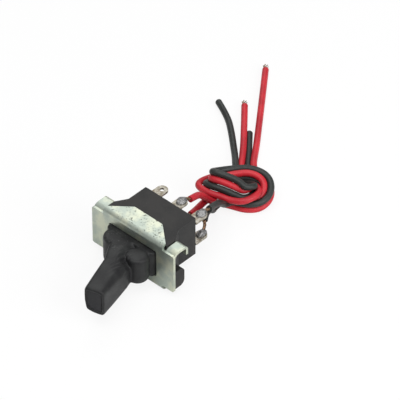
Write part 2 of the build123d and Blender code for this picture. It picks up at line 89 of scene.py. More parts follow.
# %% Camera
VIEW_AZIMUTH = math.radians(43.3)
VIEW_ELEVATION = math.radians(41.4)
VIEW_WIDTH = 0.148
VIEW_CENTRE = np.array([-0.0008, 0.0367, 0.0])
CAMERA_DISTANCE = 1.5
SENSOR = 36.0
looking = np.array([
    -math.sin(VIEW_AZIMUTH) * math.cos(VIEW_ELEVATION),
    math.cos(VIEW_AZIMUTH) * math.cos(VIEW_ELEVATION),
    -math.sin(VIEW_ELEVATION),
])
camera_data = bpy.data.cameras.new("camera")
camera_data.sensor_width = SENSOR
camera_data.lens = SENSOR * CAMERA_DISTANCE / VIEW_WIDTH
camera = bpy.data.objects.new("camera", camera_data)
camera.location = VIEW_CENTRE - looking * CAMERA_DISTANCE
camera.rotation_euler = (math.pi / 2 - VIEW_ELEVATION, 0, VIEW_AZIMUTH)
bpy.context.scene.collection.objects.link(camera)
bpy.context.scene.camera = camera
print("lens", round(camera_data.lens), "mm at", [round(float(x), 3) for x in camera.location])

# %% [markdown]
# ## The leads
# Four stranded hook-up wires come off the lugs. They run side by side through one overhand
# knot and end free on the floor. A lead could be a mesh tube, but a curve is easier to lay out:
# each one is a NURBS spline with a short list of control points. The four share one middle line
# through the knot. At each of its points a fold angle says how far they have gone from four
# abreast to two on two, and a roll angle turns that section about the line. Before and after the
# knot each lead has points of its own.
#
# The layout is turned with the camera: its X runs across the view, its Y away from it, and its
# heights start at the floor.

# %% The knot's middle line and each lead's own points
LEAD_RADIUS = 0.0013
LEAD_PITCH = 0.00265
LYING = 0.00135  # height of a lead's middle where it lies on the floor
MITRE_LEAST = 0.7  # least cosine between a leg's side and a corner's, so that no step runs away
LAYOUT_TURN = VIEW_AZIMUTH
KNOT = [
    # x, y and height of the middle line, then fold and roll in degrees
    (0.0374, 0.0358, 0.0027, 90, 90),
    (0.0422, 0.0338, 0.0027, 90, 90),
    (0.0468, 0.0344, 0.0028, 90, 90),
    (0.0502, 0.0386, 0.0040, 90, 90),
    (0.0492, 0.0438, 0.0066, 90, 90),
    (0.0436, 0.0468, 0.0075, 90, 90),
    (0.0366, 0.0468, 0.0069, 90, 80),
    (0.0304, 0.0452, 0.0069, 70, 65),
    (0.0266, 0.0418, 0.0086, 35, 50),
    (0.0286, 0.0386, 0.0098, 10, 44),
    (0.0332, 0.0368, 0.0096, 0, 44),
    (0.0378, 0.0348, 0.0087, 10, 42),
    (0.0411, 0.0333, 0.0082, 65, 44),
    (0.0450, 0.0361, 0.0078, 88, 54),
    (0.0441, 0.0403, 0.0054, 92, 40),
    (0.0426, 0.0439, 0.0028, 55, 14),
    (0.0422, 0.0492, 0.0023, 46, 8),
    (0.0413, 0.0560, 0.0022, 38, 0),
]
LEADS = {
    # a lead's own points before the knot, and after it
    "red_lead_upper": (
        [(0.0209, 0.0206, 0.0172), (0.0232, 0.0236, 0.0164), (0.0248, 0.0280, 0.0130),
         (0.0268, 0.0312, 0.0084), (0.0298, 0.0334, 0.0044), (0.0334, 0.0349, 0.0024)],
        [(0.0452, 0.0620, 0.0022), (0.0460, 0.0690, 0.0015), (0.0468, 0.0780, LYING),
         (0.0484, 0.0960, LYING), (0.0500, 0.1146, LYING)],
    ),
    "black_lead_lower": (
        [(0.0262, 0.0164, 0.0106), (0.0266, 0.0196, 0.0114), (0.0284, 0.0246, 0.0088),
         (0.0294, 0.0294, 0.0040), (0.0298, 0.0338, 0.0014), (0.0330, 0.0376, 0.0014)],
        [(0.0430, 0.0620, LYING), (0.0432, 0.0690, LYING), (0.0434, 0.0766, LYING)],
    ),
    "red_lead_lower": (
        [(0.0211, 0.0224, 0.0082), (0.0232, 0.0252, 0.0080), (0.0254, 0.0304, 0.0064),
         (0.0274, 0.0358, 0.0038), (0.0320, 0.0388, 0.0039)],
        [(0.0406, 0.0620, 0.0020), (0.0411, 0.0690, 0.0027), (0.0413, 0.0760, 0.0024),
         (0.0415, 0.0840, LYING), (0.0417, 0.0929, LYING)],
    ),
    "black_lead_upper": (
        [(0.0279, 0.0152, 0.0172), (0.0294, 0.0188, 0.0156), (0.0312, 0.0232, 0.0130),
         (0.0324, 0.0276, 0.0092), (0.0338, 0.0318, 0.0046)],
        [(0.0379, 0.0620, 0.0020), (0.0373, 0.0690, LYING), (0.0366, 0.0770, LYING),
         (0.0352, 0.0865, LYING), (0.0317, 0.0952, LYING)],
    ),
}
print("points in the knot:", len(KNOT))


# %% From the middle line to one lead's control points
def unit(vectors):
    """Each row divided by its length."""
    return vectors / np.linalg.norm(vectors, axis=-1, keepdims=True)


def bundle_section(fold, roll):
    """Where the four leads lie across the bundle. Fold takes them from four abreast to two on
    two, and roll turns the whole section: x cos r + y sin r, y cos r - x sin r."""
    half = LEAD_PITCH / 2
    side = LEAD_PITCH * np.cos(fold)
    rise = half * np.sin(fold)
    flat = [(half + side, rise), (half, -rise), (-half, -rise), (-half - side, rise)]
    cosine, sine = np.cos(roll), np.sin(roll)
    return [(x * cosine + y * sine, y * cosine - x * sine) for x, y in flat]


def knot_points(place):
    """The middle line, stepped sideways and up. The side is the line's direction crossed with
    the vertical, and a step grows at a corner as a mitre does."""
    table = np.array(KNOT)
    middle = table[:, :3]
    legs = unit(np.diff(middle, axis=0))
    before = np.vstack([legs[:1], legs])
    after = np.vstack([legs, legs[-1:]])
    along = unit(before + after)
    right = unit(np.cross(along, UP))
    lift = np.cross(right, along)
    square = unit(np.cross(before, UP))
    spread = 1 / np.maximum(MITRE_LEAST, (right * square).sum(axis=1))
    side, rise = bundle_section(*np.radians(table[:, 3:]).T)[place]
    return middle + right * (side * spread)[:, None] + lift * rise[:, None]


def lead_points(name):
    """The control points of one lead, from its conductor by the lug to its free end."""
    first, last = LEADS[name]
    points = np.vstack([np.array(first), knot_points(list(LEADS).index(name)), np.array(last)])
    cosine, sine = math.cos(LAYOUT_TURN), math.sin(LAYOUT_TURN)
    return np.column_stack([
        points[:, 0] * cosine - points[:, 1] * sine,
        points[:, 0] * sine + points[:, 1] * cosine,
        points[:, 2] + FLOOR,
    ])


print("first lead has", len(lead_points("red_lead_upper")), "points")


# %% Lay the leads
def wire(name, points, radius):
    """A round NURBS curve of order 3 over the control points given. Its bevel is 1 m deep, so
    that each point's radius is the wire's."""
    curve = bpy.data.curves.new(name, "CURVE")
    curve.dimensions = "3D"
    curve.bevel_depth = 1.0
    curve.bevel_resolution = 5
    curve.resolution_u = 10
    curve.use_fill_caps = True
    spline = curve.splines.new("NURBS")
    spline.points.add(len(points) - 1)
    spline.points.foreach_set("co", np.column_stack([points, np.ones(len(points))]).ravel())
    spline.points.foreach_set("radius", np.full(len(points), radius))
    spline.order_u = 3
    spline.use_endpoint_u = True
    made = bpy.data.objects.new(name, curve)
    bpy.context.scene.collection.objects.link(made)
    return made


def cover_slot(name):
    """The name of the finish for a lead's cover, by its colour."""
    return "red_cover" if name.startswith("red") else "black_cover"


leads = {}
for name in LEADS:
    covered = wire(name.replace("lead", "insulated_lead"), lead_points(name), LEAD_RADIUS)
    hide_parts(name)
    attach(covered, "switch_body")
    leads[name] = covered
    print(covered.name, len(covered.data.splines[0].points), "control points")

# %% [markdown]
# ## Surfaces from arrays
# Every new mesh below is worked out as whole arrays. A grid of points that closes on itself one
# way and has a cap at each end is enough for strands, beads, cut ends, springs and the boot's
# forms.


# %% Mesh helpers
def closed_tube(name, rings):
    """A mesh of rings x sides points. Each ring closes on itself, neighbours are joined by
    quads, and a fan to the mean point closes each end."""
    count, sides = rings.shape[:2]
    ends = np.array([rings[0].mean(axis=0), rings[-1].mean(axis=0)])
    points = np.vstack([rings.reshape(-1, 3), ends])
    ring, side = np.meshgrid(np.arange(count - 1), np.arange(sides), indexing="ij")
    after = (side + 1) % sides
    quads = np.stack([
        ring * sides + side, ring * sides + after, (ring + 1) * sides + after, (ring + 1) * sides + side,
    ], axis=-1).reshape(-1, 4)
    side = np.arange(sides)
    after = (side + 1) % sides
    first = np.stack([np.full(sides, count * sides), after, side], axis=-1)
    top = (count - 1) * sides
    last = np.stack([np.full(sides, count * sides + 1), top + side, top + after], axis=-1)
    mesh = bpy.data.meshes.new(name)
    mesh.from_pydata(points.tolist(), [], quads.tolist() + first.tolist() + last.tolist())
    mesh.shade_smooth()
    return mesh


def piece(name, mesh, body, slot, *nodes):
    """An object for a mesh that is already in place, riding on a body."""
    made = bpy.data.objects.new(name, mesh)
    bpy.context.scene.collection.objects.link(made)
    if nodes:
        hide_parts(*nodes)
    if body:
        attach(made, body)
    return made


def joined(name, meshes):
    """Several meshes in one, kept as separate shells."""
    points, faces, start = [], [], 0
    for mesh in meshes:
        co = np.empty(len(mesh.vertices) * 3, np.float32)
        mesh.vertices.foreach_get("co", co)
        points += co.reshape(-1, 3).tolist()
        faces += [[start + corner for corner in face.vertices] for face in mesh.polygons]
        start += len(mesh.vertices)
        bpy.data.meshes.remove(mesh)
    whole = bpy.data.meshes.new(name)
    whole.from_pydata(points, [], faces)
    whole.shade_smooth()
    return whole


def across(direction):
    """Two unit vectors square to each direction and to each other."""
    direction = unit(np.asarray(direction, float))
    side = unit(np.cross(np.array([0.5, 0.1, 1.0]), direction))
    return side, np.cross(direction, side)


# %% [markdown]
# ## Bare strands
# The end of each lead is stripped, and its copper strands are laid through the lug's eye. A
# smooth rod would look like solid wire, so seven thin strands are twisted: one in the middle and
# six round it, each a helix about the conductor's line.

# %% Strands on the lugs
STRANDS = 7
STRAND_RADIUS = 0.00021
STRAND_CIRCLE = 0.00040
STRAND_SPREAD = (0.9, 1.2)  # how far the outer strands stand off, in shares of their circle
TWIST_PITCH = 0.0075
EYE_SHARE = 0.6  # how far through the lug's eye the bundle starts to bend


def strand(name, line, phase, reach, splay):
    """One strand: a helix round the curve (1-t)^2 A + 2t(1-t) B + t^2 C. Its circle opens as
    1 + splay * t^2, so that cut strands can stand apart."""
    sides, count = 8, 26
    t = np.linspace(0, 1, count)[:, None]
    first, bend, last = (np.asarray(point, float) for point in line)
    middle = (1 - t) ** 2 * first + 2 * t * (1 - t) * bend + t ** 2 * last
    along = unit((1 - t) * (bend - first) + t * (last - bend))
    side, lift = across(along)
    length = np.linalg.norm(np.diff(middle, axis=0), axis=1).sum()
    turn = phase + 2 * math.pi * t * length / TWIST_PITCH
    out = reach * (1 + splay * t ** 2)
    centres = middle + out * (np.cos(turn) * side + np.sin(turn) * lift)
    angle = np.linspace(0, 2 * math.pi, sides, endpoint=False)[None, :, None]
    circle = np.cos(angle) * side[:, None] + np.sin(angle) * lift[:, None]
    return closed_tube(name, centres[:, None] + STRAND_RADIUS * circle)


def strands(name, line, splay=0.0):
    """The twisted bundle of one conductor, along a curve given by three points."""
    made = [strand("middle", line, 0.0, 0.0, 0.0)]
    random = np.random.default_rng(len(name))
    for place in range(STRANDS - 1):
        phase = 2 * math.pi * place / (STRANDS - 1)
        reach = STRAND_CIRCLE * random.uniform(*STRAND_SPREAD)
        made.append(strand("outer", line, phase, reach, splay))
    return joined(name, made)


for name in LEADS:
    core = name.replace("lead", "core")
    low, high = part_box(core)
    x, z = (low.x + high.x) / 2, (low.z + high.z) / 2
    line = [(x, low.y, z), (x, low.y + EYE_SHARE * (high.y - low.y), z), lead_points(name)[0]]
    mesh = strands(core.replace("core", "strands"), line)
    piece(core.replace("core", "strands"), mesh, "switch_body", "copper", core)
    print("twisted", core, len(mesh.polygons), "faces")

# %% [markdown]
# ## Solder
# A hand-made joint is not a neat ball. Molten solder fills the eye, climbs the strands and
# freezes with folds in it. Each bead is an ellipsoid whose radius is changed by a few slow
# waves, different for each lug, and drawn out along the strands.

# %% Solder beads
BEADS = [(column, pole) for pole in ("upper", "lower") for column in ("middle", "right")]
BEAD_SEED = 3
BEAD_RINGS, BEAD_SIDES = 40, 56
BEAD_POLE = 0.04  # angle that is left open round each pole, and closed by a fan
BEAD_WAVES = ((2, 0.09), (3, 0.06), (5, 0.045), (7, 0.03), (11, 0.018))  # order and height
BEAD_RIBS = 0.5  # height of the waves along the bead, in shares of those round it
BEAD_FIT = 0.94  # mean radius, so that the waves stay about inside the box
BEAD_DRAWN_OUT = 0.18


def bead(name, low, high, seed):
    """An ellipsoid in the bead's box. Its radius is f (1 + waves in longitude and latitude), and
    the end towards the lead is longer by 1 + d y^2."""
    random = np.random.default_rng(seed)
    centre = (np.array(low) + np.array(high)) / 2
    half = (np.array(high) - np.array(low)) / 2
    latitude = np.linspace(BEAD_POLE, math.pi - BEAD_POLE, BEAD_RINGS)[:, None]
    longitude = np.linspace(0, 2 * math.pi, BEAD_SIDES, endpoint=False)[None, :]
    radius = np.ones((BEAD_RINGS, BEAD_SIDES))
    for order, height in BEAD_WAVES:
        turn, lean = random.uniform(0, 2 * math.pi, 2)
        wave = np.cos(order * longitude + turn + lean * np.cos(latitude))
        radius += height * wave * np.sin(latitude) ** 2
        radius += BEAD_RIBS * height * np.cos(order * latitude + lean) * np.sin(latitude)
    radius *= BEAD_FIT
    y = -np.cos(latitude) * np.ones_like(longitude)
    x = np.sin(latitude) * np.cos(longitude)
    z = np.sin(latitude) * np.sin(longitude)
    stretch = 1 + BEAD_DRAWN_OUT * np.clip(y, 0, 1) ** 2
    ball = np.stack([x * half[0], y * half[1] * stretch, z * half[2]], axis=-1)
    return closed_tube(name, centre + radius[..., None] * ball)


for seed, (column, pole) in enumerate(BEADS, start=BEAD_SEED):
    node = f"solder_{column}_{pole}"
    low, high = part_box(node)
    mesh = bead(f"bead_{column}_{pole}", low, high, seed)
    piece(f"bead_{column}_{pole}", mesh, "switch_body", "solder", node)
    print("bead", node, [round(float(b - a) / MM, 1) for a, b in zip(low, high)], "mm")

# %% [markdown]
# ## Cut ends
# The free ends were cut with pliers. The cover's edge is rounded, and on the red leads a few
# strands stick out. The black ends are plain. Each end is a short turned cap on the lead's last
# direction, and the strands are the same twisted bundle as on the lugs, opened at its end.

# %% Ends of the leads
CAP_LENGTH = 0.55  # in shares of the lead's radius
CAP_OVERLAP = 0.3  # the share of the cap that lies back over the lead
CAP_PROUD = 1.005  # its radius where it starts, in shares of the lead's
FRAY_REACH = (-0.0002, 0.0010, 0.0021)
FRAY_SPLAY = 1.3


def cut_end(name, tip, direction, radius):
    """A rounded cap, whose radius is p r sqrt(1 - t^2.5 / 2) on the way to the cut face."""
    side, lift = across(direction)
    sides, count = 28, 9
    t = np.linspace(0, 1, count)
    reach = radius * CAP_LENGTH
    out = radius * CAP_PROUD * np.sqrt(np.clip(1 - 0.5 * t ** 2.5, 0, 1))
    angle = np.linspace(0, 2 * math.pi, sides, endpoint=False)
    circle = np.cos(angle)[:, None] * side + np.sin(angle)[:, None] * lift
    centres = np.asarray(tip) + (t * reach - CAP_OVERLAP * reach)[:, None] * direction
    rings = centres[:, None, :] + out[:, None, None] * circle[None, :, :]
    return closed_tube(name, rings)


on_lead = {}
for name in LEADS:
    points = lead_points(name)
    direction = unit(points[-1] - points[-2])
    end = name.replace("lead", "end")
    mesh = cut_end(end, points[-1], direction, LEAD_RADIUS)
    on_lead[name] = [piece(end, mesh, "switch_body", cover_slot(name))]
    if name.startswith("red"):
        frayed = name.replace("lead", "frayed_strands")
        line = [points[-1] + reach * direction for reach in FRAY_REACH]
        mesh = strands(frayed, line, splay=FRAY_SPLAY)
        on_lead[name].append(piece(frayed, mesh, "switch_body", "copper"))
    print("cut end of", name)

for name, covered in leads.items():
    tuple(lead_points(name)[0])

# %% [markdown]
# ## The rubber boot
# The boot is one moulding. Its plug fills the bracket's opening, two fat folds stand in front of
# it, and a sleeve covers the lever's paddle to its end. It could be sculpted, but its forms are
# simple: three upright rounded columns and a tapering sleeve. They are made as separate closed
# surfaces, then melted into one skin with a voxel remesh and smoothed, as rubber has no sharp
# inner corners. Last, fine creases are raised where the skin is gathered between the folds.


# %% The boot's forms
def rounded_column(name, centre, radius, half, top_round, squareness=2.0, wide=None):
    """An upright column. Its outline is a superellipse, |x|^n + |y|^n = 1, and its height
    profile shrinks near both ends along a quarter circle."""
    sides, bends = 72, 7
    wide = wide or radius
    angle = np.linspace(0, 2 * math.pi, sides, endpoint=False)
    cosine, sine = np.cos(angle), np.sin(angle)
    outline = np.column_stack([
        wide * np.sign(cosine) * np.abs(cosine) ** (2 / squareness),
        radius * np.sign(sine) * np.abs(sine) ** (2 / squareness),
    ])
    bend = np.linspace(0, math.pi / 2, bends)
    inset = np.concatenate([top_round * (1 - np.sin(bend)), top_round * (1 - np.cos(bend))])
    height = np.concatenate([
        -half + top_round * (1 - np.cos(bend)),
        half - top_round + top_round * np.sin(bend),
    ])
    shrink = 1 - inset[:, None] / np.array([wide, radius])[None, :]
    flat = outline[None, :, :] * shrink[:, None, :] + np.asarray(centre)
    rings = np.concatenate([flat, np.repeat(height[:, None, None], sides, axis=1)], axis=-1)
    return closed_tube(name, rings)


def sleeve(name):
    """The skin round the paddle: sections square to the lever, each a polygon of nine corners
    whose top falls away to the right of a ridge. Sections between the stations are blended, and
    each outline is rounded by three passes of (1, 2, 1) / 4."""
    steps, passes, top_slope = 6, 3, 0.97
    stations = np.array([
        # along, left, right, top, ridge, top at right, half depth below, cut at the lower left
        (2.5, 7.0, 3.8, 5.7, 1.0, 4.8, 5.7, 0.3),
        (7.0, 7.0, 4.0, 5.8, -0.6, 2.4, 5.8, 0.4),
        (10.5, 6.9, 4.2, 6.2, -1.0, 1.4, 5.8, 0.5),
        (14.0, 5.9, 4.4, 6.3, -0.4, 1.6, 5.8, 0.6),
        (16.2, 5.3, 4.5, 6.2, 0.7, 2.6, 5.8, 0.7),
        (17.4, 5.0, 4.6, 6.1, 2.0, 4.3, 5.8, 0.7),
        (27.0, 4.4, 4.4, 6.1, 2.6, 4.7, 5.7, 0.8),
        (33.2, 4.0, 4.3, 6.0, 3.1, 5.0, 5.3, 0.8),
        (34.3, 3.9, 4.2, 5.9, 3.1, 5.0, 5.3, 0.7),
        (34.7, 3.6, 3.9, 5.5, 2.8, 4.7, 5.0, 0.6),
        (34.7, 3.1, 3.3, 4.8, 2.5, 4.3, 4.4, 0.6),
        (33.9, 3.0, 3.2, 4.7, 2.4, 4.2, 4.3, 0.6),
    ]) * MM
    count = len(stations)
    between = np.linspace(0, count - 1, steps * (count - 1) + 1)
    along, left, right, top, ridge, fall, below, cut = (
        np.interp(between, np.arange(count), column) for column in stations.T
    )
    level = np.zeros(len(between))
    corners = np.stack([np.stack(corner, axis=-1) for corner in (
        (-left + cut, -below + cut), (level, -below), (right, -below),
        (right, level), (right, fall), (ridge, top),
        ((ridge - left) / 2, top), (-left, top * top_slope), (-left, level),
    )], axis=1)
    following = np.roll(corners, -1, axis=1)
    outline = np.stack([
        corners * (1 - step / steps) + following * step / steps for step in range(steps)
    ], axis=2).reshape(len(between), -1, 2)
    for _ in range(passes):
        beside = np.roll(outline, 1, axis=1) + np.roll(outline, -1, axis=1)
        outline = 0.5 * outline + 0.25 * beside
    middle = PIVOT + along[:, None, None] * LEVER_AXIS
    return closed_tube(name, middle + outline[..., :1] * LEVER_SIDE + outline[..., 1:] * UP)


forms = [
    rounded_column("stretched_fold", (-0.0056, -0.0030), radius=0.0047, half=0.0058, top_round=0.0012),
    rounded_column("squeezed_fold", (0.0074, -0.0052), radius=0.0043, half=0.0056, top_round=0.0012),
    rounded_column("plug", (0.0, 0.0002), radius=0.0023, half=0.0057, top_round=0.0006,
                   squareness=7.0, wide=0.0116),
    sleeve("skirt"),
]
boot = piece("rubber_boot", joined("rubber_boot", forms), None, "boot_rubber", "boot")
print("boot forms joined:", len(boot.data.polygons), "faces")

# %% Melt the forms into one skin
BOOT_VOXEL = 0.00028
remesh = boot.modifiers.new("melt", "REMESH")
remesh.mode = "VOXEL"
remesh.voxel_size = BOOT_VOXEL
smooth = boot.modifiers.new("soften", "SMOOTH")
smooth.factor = 0.5
smooth.iterations = 10
depsgraph = bpy.context.evaluated_depsgraph_get()
skin = bpy.data.meshes.new_from_object(boot.evaluated_get(depsgraph))
boot.modifiers.clear()
boot.data = skin
skin.name = "rubber_boot"
skin.shade_smooth()

# %% Creases between the folds
CREASE_PLACE = (0.0155, 0.0008)  # along the lever from its pivot, and to its side
CREASE_REACH = (0.0055, 0.0022)
CREASE_FADE = 0.002  # height over which they set in
CREASE_PITCH = 0.0017
CREASE_HEIGHT = 0.00042
CREASE_SLANT = 0.35
CREASE_WANDER, CREASE_WANDER_LENGTH = 0.0004, 0.0016


def pucker(mesh):
    """Raises fine creases that run out of the fold into the valley: h (1 + sin(2 pi v / p)) / 2,
    where v is slanted across the lever, inside a bell-shaped window on the upper side."""
    count = len(mesh.vertices)
    points, normals = np.empty(count * 3, np.float32), np.empty(count * 3, np.float32)
    mesh.vertices.foreach_get("co", points)
    mesh.vertex_normals.foreach_get("vector", normals)
    points, normals = points.reshape(-1, 3), normals.reshape(-1, 3)
    along, side = (points - PIVOT) @ LEVER_AXIS, (points - PIVOT) @ LEVER_SIDE
    far, aside = along - CREASE_PLACE[0], side - CREASE_PLACE[1]
    slanted = side + CREASE_SLANT * far + CREASE_WANDER * np.sin(along / CREASE_WANDER_LENGTH)
    window = np.exp(-(far / CREASE_REACH[0]) ** 2 - (aside / CREASE_REACH[1]) ** 2)
    window *= np.clip(points[:, 2] / CREASE_FADE, 0, 1)
    height = CREASE_HEIGHT * window * (0.5 + 0.5 * np.sin(2 * math.pi * slanted / CREASE_PITCH))
    mesh.vertices.foreach_set("co", (points + normals * height[:, None]).ravel())
    mesh.update()


pucker(skin)
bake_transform(boot)
print("boot skin:", len(skin.polygons), "faces")

# %% [markdown]
# ## Coil springs
# Each plunger is pushed out of the lever by a small coil spring. A stiff spring that rode on the
# lever would run through its plunger when that is pressed in. Each coil is made again in round
# wire from its seat in the lever, and is left at rest on no body.

# %% Coil springs
SPRING_TURNS = 3.5
SPRING_RADIUS = 0.00095
SPRING_WIRE_RADIUS = 0.00018
SPRING_SEAT = 0.00358  # from the pivot to the spring's seat in the lever
SPRING_HEIGHT = 0.00204


def coil_spring(name, axis_at):
    """Round wire round a helix: the axis runs away from the lever, and the centre is at
    r (cos a, sin a) from it, with a = 2 pi n t and a rise of h t."""
    count, sides = 120, 10
    t = np.linspace(0, 1, count)[:, None]
    turn = 2 * math.pi * SPRING_TURNS * t
    out = np.cos(turn) * LEVER_SIDE + np.sin(turn) * UP
    centres = axis_at - (SPRING_SEAT + SPRING_HEIGHT * t) * LEVER_AXIS + SPRING_RADIUS * out
    angle = np.linspace(0, 2 * math.pi, sides, endpoint=False)[None, :, None]
    circle = np.cos(angle) * out[:, None] - np.sin(angle) * LEVER_AXIS
    return closed_tube(name, centres[:, None] + SPRING_WIRE_RADIUS * circle)


for pole in ("upper", "lower"):
    low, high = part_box(f"spring_{pole}")
    axis_at = np.array([PIVOT[0], PIVOT[1], (low.z + high.z) / 2])
    mesh = coil_spring(f"coil_{pole}", axis_at)
    coil = piece(f"coil_{pole}", mesh, None, "spring_steel", f"spring_{pole}")
    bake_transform(coil)
    print(coil.name, len(coil.data.polygons), "faces")

# %% [markdown]
# ## Shader arithmetic
# A finish is easier to read as sums and products than as a list of links. One small class wraps
# a node's output and turns + - * into Math nodes. Another holds the material and adds any
# other kind of node in one line.


# %% Values and finishes
class Value:
    """A number that changes over a surface: one output of a node, with arithmetic."""

    def __init__(self, finish, socket):
        self.finish = finish
        self.socket = socket

    def maths(self, operation, first, second):
        return self.finish.node("Math", {"operation": operation}, {0: first, 1: second})

    def __add__(self, other):
        return self.maths("ADD", self, other)

    def __sub__(self, other):
        return self.maths("SUBTRACT", self, other)

    def __rsub__(self, other):
        return self.maths("SUBTRACT", other, self)

    def __mul__(self, other):
        return self.maths("MULTIPLY", self, other)

    __radd__ = __add__
    __rmul__ = __mul__


class Finish:
    """A material being made: its shader, whose fixed numbers are set here, and its nodes."""

    def __init__(self, name, **fixed):
        self.material = bpy.data.materials.new(name)
        self.material.use_nodes = True
        self.tree = self.material.node_tree
        self.shader = self.tree.nodes["Principled BSDF"]
        for socket, number in fixed.items():
            self.shader.inputs[socket.replace("_", " ")].default_value = number
        self.place = self.node("TexCoord", out="Object")

    def join(self, socket, value):
        """A number or colour is set, and a value is linked."""
        if isinstance(value, Value):
            self.tree.links.new(value.socket, socket)
        elif hasattr(value, "__len__") and len(value) == 3 and socket.type == "RGBA":
            socket.default_value = (*value, 1.0)
        else:
            socket.default_value = value

    def node(self, kind, settings=None, inputs=None, out=0):
        """Any node, with its settings first and then its sockets."""
        node = self.tree.nodes.new("ShaderNode" + kind)
        for setting, value in (settings or {}).items():
            setattr(node, setting, value)
        for socket, value in (inputs or {}).items():
            self.join(node.inputs[socket], value)
        return Value(self, node.outputs[out])

    def noise(self, size, detail=3.0, roughness=0.5):
        """Noise whose patches are about the size given, in metres."""
        place = self.node("Mapping", {}, {"Vector": self.place, "Scale": (1 / size,) * 3})
        return self.node(
            "TexNoise", {},
            {"Vector": place, "Scale": 1.0, "Detail": detail, "Roughness": roughness},
        )

    def step(self, value, low, high):
        """0 below low, 1 above high, and smooth between."""
        return self.node(
            "MapRange", {"interpolation_type": "SMOOTHSTEP"},
            {"Value": value, "From Min": low, "From Max": high, "To Min": 0.0, "To Max": 1.0},
        )

    def blend(self, factor, first, second):
        """One colour over another."""
        return self.node("Mix", {"data_type": "RGBA"}, {0: factor, 6: first, 7: second}, out=2)

    def axis(self, letter):
        """One coordinate of the place on the object."""
        return self.node("SeparateXYZ", {}, {"Vector": self.place}, out=letter)

    def set(self, colour, roughness=None):
        """What changes over the surface."""
        self.join(self.shader.inputs["Base Color"], colour)
        if roughness is not None:
            self.join(self.shader.inputs["Roughness"], roughness)

    def bump(self, height, depth):
        """Relief of that depth in metres."""
        sockets = {"Height": height, "Distance": depth, "Strength": 1.0}
        self.join(self.shader.inputs["Normal"], self.node("Bump", {}, sockets, out="Normal"))


def wear(finish, *names):
    """Puts a finish on pieces, by the names of their objects."""
    for name in names:
        data = bpy.data.objects[name].data
        data.materials.clear()
        data.materials.append(finish.material)
    print(finish.material.name, "on", len(names), "pieces")


# %% [markdown]
# ## Zinc-plated steel
# The bracket is stamped from zinc-plated sheet with a thin yellow-green passivation. It is not
# a mirror: the plating is dull, the colour drifts from grey-green to cream, and small dark pits
# sit mostly in the top tongue, where the coating is thin.

# %% Plated steel
GREY_GREEN, CREAM = (0.40, 0.46, 0.41), (0.60, 0.63, 0.50)
DULL_GRAIN, PIT = (0.42, 0.44, 0.36), (0.10, 0.10, 0.085)
TONGUE_HEIGHTS = (0.0102, 0.0108)  # the pits set in between these
PITS_ON_TOP, PITS_ELSEWHERE = 0.75, 0.15
steel = Finish("plated_steel", Metallic=0.85)
drift = steel.noise(0.006, detail=4.0)
plating = steel.blend(steel.step(drift, 0.40, 0.62), GREY_GREEN, CREAM)
grain = steel.noise(0.0006, detail=5.0, roughness=0.65)
pits = 1 - steel.step(steel.noise(0.00075, detail=2.0, roughness=0.6), 0.30, 0.40)
on_top = steel.step(steel.axis("Z"), *TONGUE_HEIGHTS)
pit_mask = pits * (on_top * PITS_ON_TOP + PITS_ELSEWHERE)
steel.set(
    colour=steel.blend(pit_mask, steel.blend(grain * 0.35, plating, DULL_GRAIN), PIT),
    roughness=0.30 + 0.22 * grain + 0.2 * pit_mask,
)
steel.bump(grain * 0.4 - pit_mask, 0.00004)
wear(steel, "bracket")

# %% [markdown]
# ## Moulded phenolic
# The body and the lever are moulded in a dark filled plastic. Its skin is almost smooth, with a
# fine grain from the filler and slow patches that are a little browner or greyer.


# %% Mouldings
def moulding(name, dark, light, roughness, relief=0.000015):
    """A filled plastic between two close colours, with a few flecks of a lighter one."""
    fleck = tuple(2.2 * channel for channel in light)
    finish = Finish(name, Specular_IOR_Level=0.24)
    patch = finish.noise(0.009, detail=3.0)
    grain = finish.noise(0.00035, detail=3.0, roughness=0.6)
    flecks = finish.step(finish.noise(0.0005, detail=1.0), 0.66, 0.74)
    colour = finish.blend(finish.step(patch, 0.35, 0.65), dark, light)
    finish.set(
        colour=finish.blend(flecks * 0.35, colour, fleck),
        roughness=roughness + 0.16 * grain + 0.06 * patch,
    )
    finish.bump(grain + 0.4 * patch, relief)
    return finish


body_moulding = moulding("body_moulding", (0.018, 0.018, 0.018), (0.028, 0.027, 0.026), 0.42)
lever_moulding = moulding("lever_moulding", (0.016, 0.016, 0.018), (0.024, 0.024, 0.027), 0.40)
wear(body_moulding, "housing")
wear(lever_moulding, "lever")

# %% [markdown]
# ## Rubber
# The boot has the same dark grey, but it is matte, and the fold that is stretched open carries
# pale specks near the bracket.

# %% Boot rubber
RUBBER_DARK, RUBBER_LIGHT = (0.011, 0.011, 0.012), (0.022, 0.023, 0.023)
# pale colour of the specks on the stretched fold near the bracket
PALE_SPECK = (0.16, 0.17, 0.165)
rubber = Finish("boot_rubber", Specular_IOR_Level=0.26)
bloom = rubber.noise(0.005, detail=4.0)
grain = rubber.noise(0.0005, detail=4.0, roughness=0.7)
specks = rubber.step(rubber.noise(0.0007, detail=2.0, roughness=0.65), 0.60, 0.68)
left_half = 1 - rubber.step(rubber.axis("X"), -0.003, 0.003)
near_bracket = rubber.step(rubber.axis("Y"), -0.014, -0.008)
on_stretched = left_half * near_bracket
base = rubber.blend(rubber.step(bloom, 0.35, 0.7), RUBBER_DARK, RUBBER_LIGHT)
rubber.set(
    colour=rubber.blend(specks * on_stretched * 0.5, base, PALE_SPECK),
    roughness=0.34 + 0.2 * grain,
)
rubber.bump(grain + 0.8 * specks * on_stretched, 0.00006)
wear(rubber, "rubber_boot")

# %% [markdown]
# ## Insulation
# The leads are covered in extruded PVC. It is satin, with a little drift in its colour and very
# fine marks from handling.


